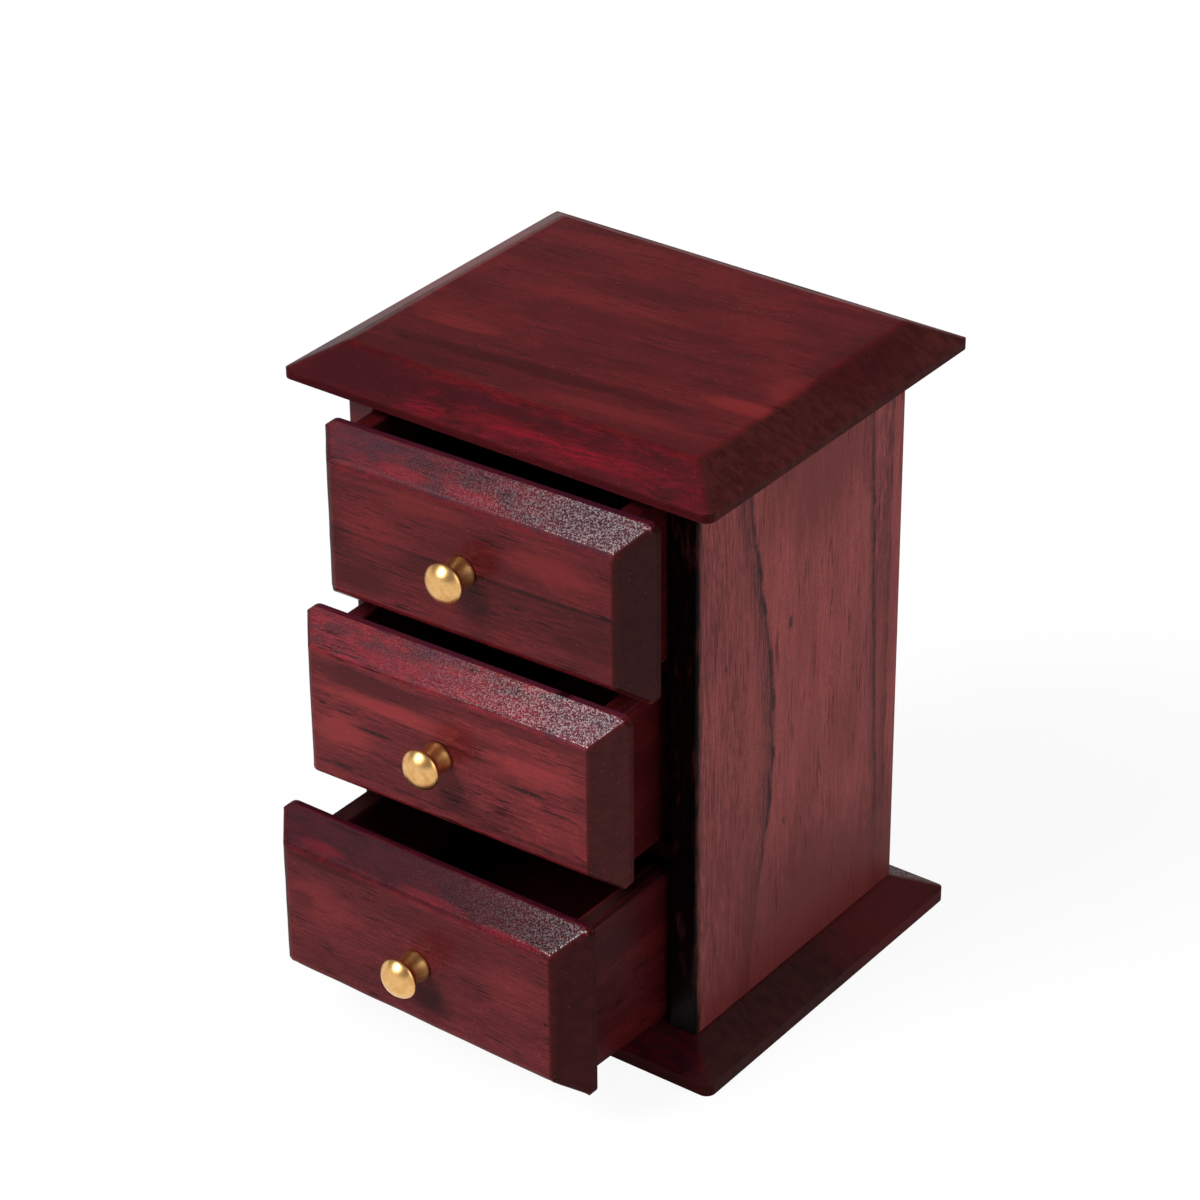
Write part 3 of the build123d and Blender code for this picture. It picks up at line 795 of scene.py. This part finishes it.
frontLooks = {
    "top": {
        "seed": 31.0, "bandWidth": 5.0, "bands": 0.45, "blotches": 0.4, "fibres": 0.45, "pores": 0.9,
        "bevelPeel": 1.2, "relief": 0.3, "tone": 0.95, "crimson": 0.55, "gloss": 0.11,
        "shine": (-15.0, 44.0, 0.25, 0.95),
        "stain": {"end": (0.030, 0.0050, 0.0047), "body": (0.165, 0.0180, 0.0220),
                  "warm": (0.290, 0.0290, 0.0310)},
        "veins": [{"axis": "z", "Place": 0.1, "Width": 0.7, "Tail": 15.0, "Sway": 1.2, "Gaps": 0.4,
                   "line": 0.9, "shade": 0.6}],
        "patches": [
            ("plum", 0.90, (0, 4.4, 22), (999, 1.9, 4.5)),
            ("deep", 0.60, (-38, 0, -1), (5, 99, 6)),
            ("deep", 0.65, (-31, 0, -11), (14, 99, 5)),
            ("deep", 0.45, (14, 0, -10), (20, 99, 4), "streaky"),
            ("deep", 0.45, (34, 0, -9), (12, 99, 7)),
            ("warm", 0.25, (-26, 0, 2), (12, 99, 8)),
            ("warm", 0.35, (-14, 0, 12.5), (18, 99, 3.5)),
            ("warm", 0.40, (22, 0, 8), (16, 99, 5)),
            ("crimson", 0.60, (-19, 0, 18.4), (9, 99, 1.4)),
            ("crimson", 0.60, (0, 0, 18.2), (10, 99, 1.2)),
            ("plum", 0.60, (-27, 0, 21.3), (10, 99, 1.2)),
            ("plum", 0.60, (-9, 0, 17.0), (8, 99, 0.9)),
            ("plum", 0.70, (30, 0, 19.5), (18, 99, 5)),
        ],
    },
    "middle": {
        "seed": 34.0, "bandWidth": 4.0, "bands": 0.5, "blotches": 0.5, "fibres": 0.6, "pores": 1.0,
        "bevelPeel": 1.5, "relief": 0.35, "tone": 1.25, "crimson": 0.9, "gloss": 0.12,
        "shine": (-12.0, 38.0, 0.22, 1.0),
        "stain": {"body": (0.176, 0.0220, 0.0260), "warm": (0.290, 0.0330, 0.0350)},
        "veins": [{"axis": "z", "Place": -13.5, "Width": 0.8, "Tail": 3.0, "Slope": -0.02, "Sway": 2.0,
                   "Gaps": 0.8, "line": 0.7, "shade": 0.4},
                  {"axis": "z", "Place": 4.2, "Width": 0.6, "Tail": 2.0, "Slope": -0.03, "Sway": 2.0,
                   "Gaps": 0.9, "line": 0.6, "shade": 0.3}],
        "patches": [
            ("plum", 0.85, (0, 4.4, 22), (999, 1.9, 4.5)),
            ("deep", 0.80, (-22, 0, 12.3), (26, 99, 3.4)),
            ("deep", 0.60, (16, 0, 14.2), (26, 99, 2.2)),
            ("warm", 0.65, (-16, 0, 7.2), (24, 99, 2.8)),
            ("warm", 0.50, (-30, 0, -3.0), (12, 99, 6)),
            ("warm", 0.50, (24, 0, 5), (16, 99, 4)),
            ("deep", 0.70, (9, 0, -10), (16, 99, 5.5), "streaky"),
            ("deep", 0.50, (-20, 0, -7), (18, 99, 3), "streaky"),
            ("pore", 0.90, (-21, 0, -0.3), (8, 99, 0.7)),
            ("pore", 0.80, (-29, 0, 2.3), (4, 99, 0.5)),
            ("pore", 0.90, (22, 0, -0.5), (8, 99, 0.8)),
            ("pore", 0.80, (30, 0, -3.6), (6, 99, 0.5)),
            ("pore", 0.80, (-30, 0, -12.3), (4, 99, 0.6)),
            ("crimson", 0.30, (2, 0, 18.6), (34, 99, 2.6)),
            ("plum", 0.60, (-6, 0, 22.0), (12, 99, 1.0)),
            ("plum", 0.55, (36, 0, 19.5), (14, 99, 5)),
            ("black", 0.80, (16.3, 0, 21.4), (0.5, 99, 1.3)),
            ("black", 0.80, (27.0, 0, 22.3), (2.4, 99, 0.4)),
        ],
    },
    "bottom": {
        "seed": 39.0, "bandWidth": 6.0, "bands": 0.35, "blotches": 0.35, "fibres": 0.5, "pores": 0.7,
        "bevelPeel": 1.1, "relief": 0.3, "tone": 0.93, "crimson": 0.15, "bevelTint": 1.0, "gloss": 0.07,
        "shine": (-5.0, 44.0, 0.22, 1.0),
        "stain": {"plum": (0.033, 0.0030, 0.0100), "body": (0.178, 0.0250, 0.0300),
                  "warm": (0.300, 0.0370, 0.0410)},
        "patches": [
            ("plum", 0.90, (0, 4.4, 22), (999, 1.9, 4.5)),
            ("deep", 0.80, (-25, 0, 15.0), (20, 99, 1.8)),
            ("warm", 0.30, (-28, 0, 4.0), (15, 99, 8)),
            ("deep", 0.50, (-34, 0, 3.0), (5, 99, 3)),
            ("deep", 0.50, (1, 0, -9.5), (11, 99, 5)),
            ("warm", 0.20, (28, 0, 3), (12, 99, 9)),
            ("pore", 0.90, (37.2, 0, -2), (0.8, 99, 0.7)),
            ("crimson", 0.40, (4, 0, 17.6), (12, 99, 0.9)),
            ("crimson", 0.50, (28, 0, 16.9), (12, 99, 1.0)),
            ("crimson", 0.40, (-29, 0, 18.1), (8, 99, 1.2)),
        ],
    },
}
knobOffsets = {"top": (-2.0, 0.0), "middle": (-2.3, 0.0), "bottom": (0.3, -1.3)}
knobSizes = {
    "footRadius": 3.9, "footHeight": 0.5, "footChamfer": 0.15, "waistRadius": 3.15, "waistHeight": 4.4,
    "waistBulge": 0.12, "waistSteps": 8, "collarRadius": 4.2, "collarHeight": 5.8, "collarBulge": 0.14,
    "collarSteps": 6, "rimRadius": 5.05, "rimLow": 6.2, "rimLowEase": 0.15, "rimHigh": 6.9,
    "rimHighEase": 0.1, "length": 9.6, "domeSteps": 14, "boreRadius": 1.55, "boreDepth": 6.5, "steps": 72,
}
screwSizes = {
    "headRadius": 2.8, "headHeight": 1.8, "headSteps": 8, "headSlope": 0.5, "edgeHeight": 0.9,
    "shankRadius": 1.5, "grip": 5.5, "tipChamfer": 0.4, "slotWidth": 0.6, "slotLength": 3.2,
    "slotDepth": 0.8, "cutDistance": 1e-8, "steps": 48,
}


def drawerPlace(name):
    # The middle of the drawer's bottom board is a known point of its local frame
    known = Vector((0, boxSizes["depth"] / 2, boxSizes["bottomLow"] + boxSizes["bottomThickness"] / 2)) * mm
    middle = middleOf(name + "_drawer_bottom")
    turn = Matrix.Rotation(math.radians(drawerTurn[name]), 4, "Z")
    return Matrix.Translation(middle) @ turn @ Matrix.Translation(-known)


def arcPoints(start, end, bulge, count):
    # Points of a shallow arc from start to end, which swells to the left of its direction by bulge
    start, end = Vector(start), Vector(end)
    across = Vector((start.y - end.y, end.x - start.x)).normalized()
    shares = [step / count for step in range(1, count)]
    return [start.lerp(end, share) + across * bulge * math.sin(math.pi * share) for share in shares]


def knobOutline():
    # From the bore out over the foot, up the waist, and round the rim to the top of the dome
    sizes = knobSizes
    foot = (sizes["footRadius"], sizes["footHeight"])
    waist = (sizes["waistRadius"], sizes["waistHeight"])
    collar = (sizes["collarRadius"], sizes["collarHeight"])
    rimLow = (sizes["rimRadius"] - sizes["rimLowEase"], sizes["rimLow"])
    rimHigh = (sizes["rimRadius"] - sizes["rimHighEase"], sizes["rimHigh"])
    chamfer = sizes["footChamfer"]
    outline = [(0, sizes["boreDepth"]), (sizes["boreRadius"], sizes["boreDepth"]), (sizes["boreRadius"], 0),
               (sizes["footRadius"] - chamfer, 0), (sizes["footRadius"], chamfer), foot]
    outline += arcPoints(foot, waist, sizes["waistBulge"], sizes["waistSteps"]) + [waist]
    outline += arcPoints(waist, collar, sizes["collarBulge"], sizes["collarSteps"]) + [collar]
    outline += [rimLow, (sizes["rimRadius"], (sizes["rimLow"] + sizes["rimHigh"]) / 2), rimHigh]
    dome = sizes["length"] - sizes["rimHigh"]
    sphere = (rimHigh[0] ** 2 + dome ** 2) / (2 * dome)
    reach = math.asin(rimHigh[0] / sphere)
    for step in range(1, sizes["domeSteps"] + 1):
        angle = reach * (1 - step / sizes["domeSteps"])
        outline.append((sphere * math.sin(angle), sizes["length"] - sphere + sphere * math.cos(angle)))
    return outline


def screwHeadFaces(bm):
    return [face for face in bm.faces if face.normal.z < -screwSizes["headSlope"]]


def crossSlot(bm):
    # Cross recess in the head, which faces down the Z axis
    half, reach = screwSizes["slotWidth"] / 2 * mm, screwSizes["slotLength"] / 2 * mm
    for axis in ((1, 0, 0), (0, 1, 0)):
        for offset in (-reach, -half, half, reach):
            geom = set(screwHeadFaces(bm))
            for face in screwHeadFaces(bm):
                geom.update([*face.verts, *face.edges])
            bmesh.ops.bisect_plane(bm, geom=list(geom), dist=screwSizes["cutDistance"],
                                   plane_co=Vector(axis) * offset, plane_no=axis)
    inside = []
    for face in screwHeadFaces(bm):
        middle = face.calc_center_median()
        x, y = abs(middle.x), abs(middle.y)
        if (x < half and y < reach) or (y < half and x < reach):
            inside.append(face)
    made = bmesh.ops.extrude_face_region(bm, geom=inside)
    bmesh.ops.delete(bm, geom=inside, context="FACES_ONLY")
    moved = [item for item in made["geom"] if isinstance(item, bmesh.types.BMVert)]
    bmesh.ops.translate(bm, verts=moved, vec=(0, 0, screwSizes["slotDepth"] * mm))


def knobScrewShape():
    head, shank, chamfer = screwSizes["headRadius"], screwSizes["shankRadius"], screwSizes["tipChamfer"]
    tip = frontSizes["thickness"] + screwSizes["grip"]
    dome = screwSizes["headHeight"] - screwSizes["edgeHeight"]
    outline = [(0, -screwSizes["headHeight"])]
    for step in range(1, screwSizes["headSteps"] + 1):
        angle = math.pi / 2 * step / screwSizes["headSteps"]
        outline.append((head * math.sin(angle), -screwSizes["edgeHeight"] - dome * math.cos(angle)))
    outline += [(head, 0), (shank, 0), (shank, tip - chamfer), (shank - chamfer, tip), (0, tip)]
    bm = spunPiece(outline, screwSizes["steps"])
    crossSlot(bm)
    return bm


def easedSide(node, frontEdge):
    # The lowest drawer's sides are planed off below, towards the front, so that the front hides them
    bm = bmesh.new()
    bm.from_mesh(nodes[node].data)
    bmesh.ops.remove_doubles(bm, verts=bm.verts, dist=mergeDistance)
    underside = min(vert.co.z for vert in bm.verts)
    middle = middleOf(node).y
    for vert in bm.verts:
        if vert.co.z < underside + easedSizes["flatness"] * mm and vert.co.y < middle:
            vert.co.z = max(vert.co.z, frontEdge - easedSizes["behindFront"] * mm)
    return bm


brassLook = {
    "color": (0.80, 0.48, 0.195, 1), "dark": (0.66, 0.34, 0.105, 1), "roughness": 0.25, "scale": 0.5,
}
steelLook = {
    "color": (0.60, 0.60, 0.62, 1), "dark": (0.42, 0.42, 0.44, 1), "roughness": 0.28, "scale": 0.6,
}
brass = metal("turned brass", brassLook)
steel = metal("zinc plated steel", steelLook)
boxSideWood = stainedWood("drawer side wood", innerLooks["box_side"], (0, 0, 0))
boxBackWood = stainedWood("drawer back wood", innerLooks["box_back"], (0, 0, 0))
boxBottomWood = stainedWood("drawer bottom wood", innerLooks["box_bottom"], (0, 0, 0))


def makeFront(name, place, seed):
    # Gives the frame in which the front lies flat, with its back face down, for what is fixed to it
    node = name + "_drawer_front"
    low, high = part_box(node)
    middle = (low.z + high.z) / 2 - place.translation.z
    stand = place @ Matrix.Translation((0, 0, middle)) @ Matrix.Rotation(math.pi / 2, 4, "X")
    sizes = {**frontSizes, **frontShapes[name]}
    look = {**frontLook, **frontLooks[name]}
    frontField = (sizes["width"] - 2 * sizes["side"], sizes["height"] - 2 * sizes["side"])
    woods = boardWoods(name + " front", look, middleOf(node), math.radians(drawerTurn[name]))
    board = bevelledBoard(frontField, sizes, seed)
    keepFlats(makePiece(name + "Front", board, stand, name + "_drawer", woods, [node]))
    return stand


def makeKnob(name, stand):
    body = name + "_drawer"
    across, up = knobOffsets[name]
    screwFoot = stand @ Matrix.Translation((across * mm, up * mm, 0))
    knobFoot = screwFoot @ Matrix.Translation((0, 0, frontSizes["thickness"] * mm))
    knob = spunPiece(knobOutline(), knobSizes["steps"])
    makePiece(name + "Knob", knob, knobFoot, body, [brass], [name + "_knob"])
    screw = makePiece(name + "KnobScrew", knobScrewShape(), screwFoot, body, [steel],
                      [name + "_knob_screw"])
    keepFlats(screw)


def finishBox(name):
    body = name + "_drawer"
    for hand in ("left", "right"):
        node = body + "_" + hand + "_side"
        paint(node, boxSideWood)
        if name == "bottom":
            shape = easedSide(node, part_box(name + "_drawer_front")[0].z)
            side = makePiece(name + hand.capitalize() + "Side", shape, Matrix.Identity(4), body,
                             [boxSideWood], [node])
            side.data.set_sharp_from_angle(angle=math.radians(easedSizes["sharpAngle"]))
    paint(body + "_back", boxBackWood)
    paint(body + "_bottom", boxBottomWood)


for seed, name in enumerate(drawerNames, 10):
    stand = makeFront(name, drawerPlace(name), seed)
    makeKnob(name, stand)
    finishBox(name)
    print("stage:", name, "drawer made")


# Pins that nail the back panel into its rebates

pinSizes = {"radius": 0.9, "proud": 0.25, "inset": 1.9, "rows": 3, "fromEnd": 12.0, "steps": 20, "rings": 10}


def backPins():
    sizes = pinSizes
    low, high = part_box("back_panel")
    bm = bmesh.new()
    rise = (high.z - low.z - 2 * sizes["fromEnd"] * mm) / (sizes["rows"] - 1)
    for x in (low.x + sizes["inset"] * mm, high.x - sizes["inset"] * mm):
        for row in range(sizes["rows"]):
            spot = Matrix.Translation((x, high.y, low.z + sizes["fromEnd"] * mm + row * rise))
            made = bmesh.ops.create_uvsphere(bm, u_segments=sizes["steps"], v_segments=sizes["rings"],
                                             radius=sizes["radius"] * mm, matrix=spot)
            flatten = (1, sizes["proud"] / sizes["radius"], 1)
            bmesh.ops.scale(bm, verts=made["verts"], vec=flatten, space=spot.inverted())
    return bm


makePiece("backPins", backPins(), Matrix.Identity(4), "carcass", [steel])
print("stage: back pins made")


# Studio: a pale floor that sweeps up far away, three soft lights, dark surroundings

studio = {
    "floorRadius": 2600.0, "sweepRadius": 500.0, "sweepSteps": 10, "wallHeight": 900.0, "floorSteps": 96,
    "floorDrop": 0.02, "floorColor": (0.55, 0.55, 0.55, 1), "plainShare": 0.80, "plainStrength": 1.15,
    "worldColor": (1.0, 0.96, 0.92, 1), "worldStrength": 0.07, "worldInGloss": 0.22,
    "key": {"from": (-0.30, -0.66, 0.69), "angle": 26.0, "strength": 2.5},
    "fill": {"from": (0.92, 0.10, 0.38), "angle": 60.0, "strength": 1.6},
    "glint": {"from": (-0.43, -0.37, 0.82), "angle": 12.0, "strength": 0.25},
}


def makeFloor():
    radius, sweep = studio["floorRadius"], studio["sweepRadius"]
    outline = [(0, 0), (radius, 0)]
    for step in range(1, studio["sweepSteps"] + 1):
        angle = math.pi / 2 * step / studio["sweepSteps"]
        outline.append((radius + sweep * math.sin(angle), sweep * (1 - math.cos(angle))))
    outline.append((radius + sweep, studio["wallHeight"]))
    bm = spunPiece(outline, studio["floorSteps"])
    if bm.faces[:][0].normal.z < 0:
        bmesh.ops.reverse_faces(bm, faces=bm.faces)
    floor = meshObject("floor", bm, [floorMaterial()])
    floor.location.z = -studio["floorDrop"] * mm


def floorMaterial():
    # Plain to the camera and in reflections, diffuse to the light that it throws back on the chest
    material, tree = newMaterial("pale floor")
    diffuse = addNode(tree, "BsdfDiffuse", {"Color": studio["floorColor"]})
    plain = addNode(tree, "Emission", {"Color": (1, 1, 1, 1), "Strength": studio["plainStrength"]})
    path = addNode(tree, "LightPath").outputs
    mirrored = calc(tree, "MAXIMUM", path["Is Glossy Ray"], path["Is Transmission Ray"])
    shown = calc(tree, "MAXIMUM", path["Is Camera Ray"], mirrored)
    share = times(tree, shown, studio["plainShare"])
    showSurface(tree, addNode(tree, "MixShader", {0: share, 1: diffuse.outputs[0], 2: plain.outputs[0]}))
    return material


def makeLights():
    for name in ("key", "fill", "glint"):
        settings = studio[name]
        lamp = bpy.data.lights.new(name + "Light", "SUN")
        lamp.energy = settings["strength"]
        lamp.angle = math.radians(settings["angle"])
        light = addObject(name + "Light", lamp)
        light.rotation_mode = "QUATERNION"
        light.rotation_quaternion = Vector(settings["from"]).to_track_quat("Z", "Y")


def makeWorld():
    # A little brighter in reflections than in the light that it gives
    world = bpy.data.worlds.new("surroundings")
    world.use_nodes = True
    tree = world.node_tree
    background = tree.nodes["Background"].inputs
    plug(tree, studio["worldColor"], background["Color"])
    glossy = addNode(tree, "LightPath").outputs["Is Glossy Ray"]
    extra = times(tree, glossy, studio["worldInGloss"] - studio["worldStrength"])
    plug(tree, plus(tree, studio["worldStrength"], extra), background["Strength"])
    bpy.context.scene.world = world


# Camera, solved from the photograph's edges: degrees, millimetres, and pixels of a frame of 1200

cameraSolve = {
    "azimuth": 36.8001, "elevation": 30.3848, "roll": -0.5328, "distance": 1010.096, "targetX": 7.4787,
    "targetY": -76.9253, "focalPixels": 4109.63, "framePixels": 1200, "sensorWidth": 36.0,
    "nearest": 50.0, "farthest": 20000.0,
}


def makeCamera():
    solved = cameraSolve
    azimuth, elevation, roll = (math.radians(solved[key]) for key in ("azimuth", "elevation", "roll"))
    level = Vector((math.cos(azimuth), math.sin(azimuth), 0))
    back = Vector((math.sin(azimuth) * math.cos(elevation), -math.cos(azimuth) * math.cos(elevation),
                   math.sin(elevation)))
    upright = back.cross(level)
    right = level * math.cos(roll) + upright * math.sin(roll)
    up = -level * math.sin(roll) + upright * math.cos(roll)
    centre = (right * -solved["targetX"] + up * -solved["targetY"] + back * solved["distance"]) * mm
    data = bpy.data.cameras.new("camera")
    data.sensor_width = solved["sensorWidth"]
    data.lens = solved["focalPixels"] / solved["framePixels"] * solved["sensorWidth"]
    data.clip_start, data.clip_end = solved["nearest"] * mm, solved["farthest"] * mm
    camera = addObject("camera", data)
    camera.matrix_world = Matrix.Translation(centre) @ Matrix((right, up, back)).transposed().to_4x4()
    bpy.context.scene.camera = camera


makeFloor()
makeLights()
makeWorld()
makeCamera()
bpy.context.scene.view_settings.view_transform = "Standard"
print("stage: studio and camera ready")
